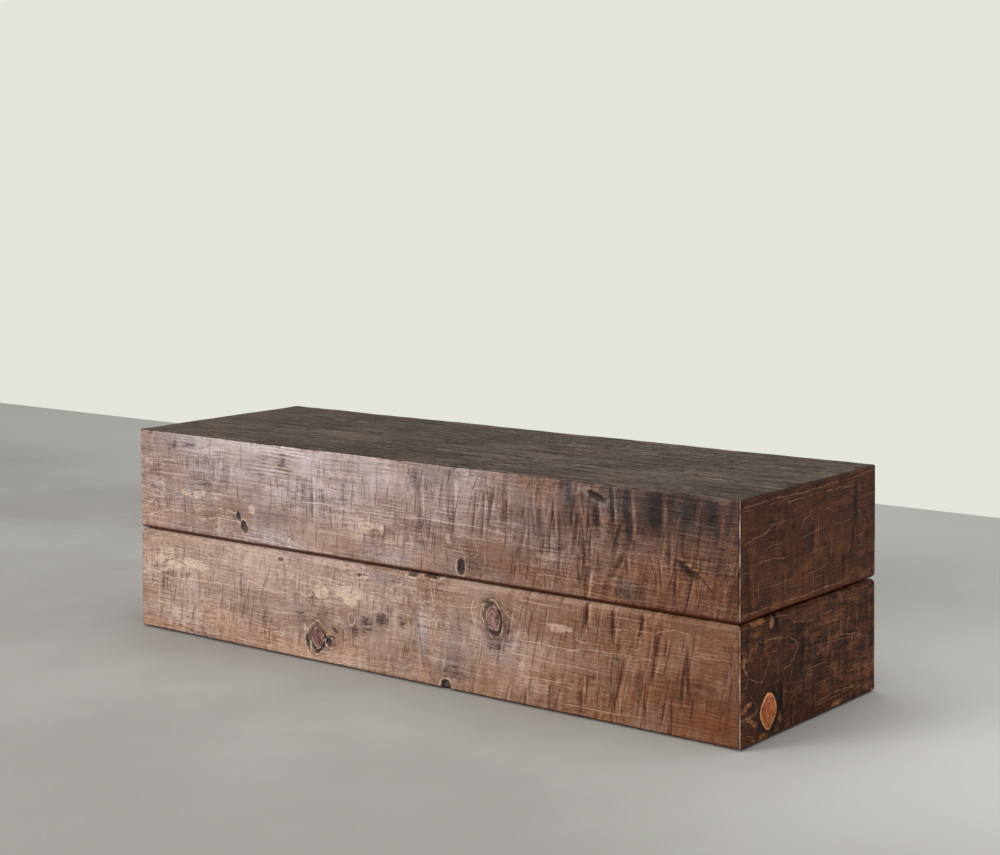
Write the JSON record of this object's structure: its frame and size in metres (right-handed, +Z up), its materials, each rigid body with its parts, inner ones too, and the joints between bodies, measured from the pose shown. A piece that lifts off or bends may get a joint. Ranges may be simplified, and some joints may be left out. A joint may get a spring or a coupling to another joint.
{
  "type": "box bench",
  "caption": "Long low box bench clad in rough-sawn brown-stained softwood boards, mitred at every outer corner, with a V groove round its middle over a hidden timber frame.",
  "frame": {"origin": "on the floor, under the middle of the bench", "axes": "+X along the bench to the right as seen from the front, +Y from the front to the back, +Z up"},
  "size_m": [1.4, 0.45, 0.4],
  "materials": {
    "stained_side_boards": "rough-sawn, brown stain under a satin sealer, worn light on saw ridges",
    "stained_top_boards": "rough-sawn, dark grey-brown stain under a matt sealer",
    "frame_softwood": "planed, unfinished",
    "tongue_plywood": "unfinished",
    "beech_dowels": "unfinished",
    "zinc_screws": "zinc plated",
    "steel_nails": "bright",
    "nylon_glides": "brown nylon"
  },
  "bodies": {
    "root": {"back_base_rail": "frame_softwood", "back_board_lower": "stained_side_boards", "back_board_screws": "zinc_screws", "back_board_upper": "stained_side_boards", "back_seam_rail": "frame_softwood", "back_top_rail": "frame_softwood", "base_tie_left": "frame_softwood", "base_tie_middle": "frame_softwood", "base_tie_right": "frame_softwood", "bearer_top_screws": "zinc_screws", "corner_post_back_left": "frame_softwood", "corner_post_back_right": "frame_softwood", "corner_post_front_left": "frame_softwood", "corner_post_front_right": "frame_softwood", "corner_tongues": "tongue_plywood", "frame_dowels": "beech_dowels", "front_base_rail": "frame_softwood", "front_board_lower": "stained_side_boards", "front_board_screws": "zinc_screws", "front_board_upper": "stained_side_boards", "front_seam_rail": "frame_softwood", "front_top_rail": "frame_softwood", "glide_nails": "steel_nails", "glides": "nylon_glides", "left_base_rail": "frame_softwood", "left_board_lower": "stained_side_boards", "left_board_screws": "zinc_screws", "left_board_upper": "stained_side_boards", "left_seam_rail": "frame_softwood", "left_top_rail": "frame_softwood", "rail_top_screws": "zinc_screws", "right_base_rail": "frame_softwood", "right_board_lower": "stained_side_boards", "right_board_screws": "zinc_screws", "right_board_upper": "stained_side_boards", "right_seam_rail": "frame_softwood", "right_top_rail": "frame_softwood", "stud_back_left": "frame_softwood", "stud_back_middle": "frame_softwood", "stud_back_right": "frame_softwood", "stud_front_left": "frame_softwood", "stud_front_middle": "frame_softwood", "stud_front_right": "frame_softwood", "stud_screws": "zinc_screws", "top_bearer_left": "frame_softwood", "top_bearer_middle": "frame_softwood", "top_bearer_right": "frame_softwood", "top_board_back": "stained_top_boards", "top_board_front": "stained_top_boards", "top_seam_tongue": "tongue_plywood"}
  },
  "joints": []
}
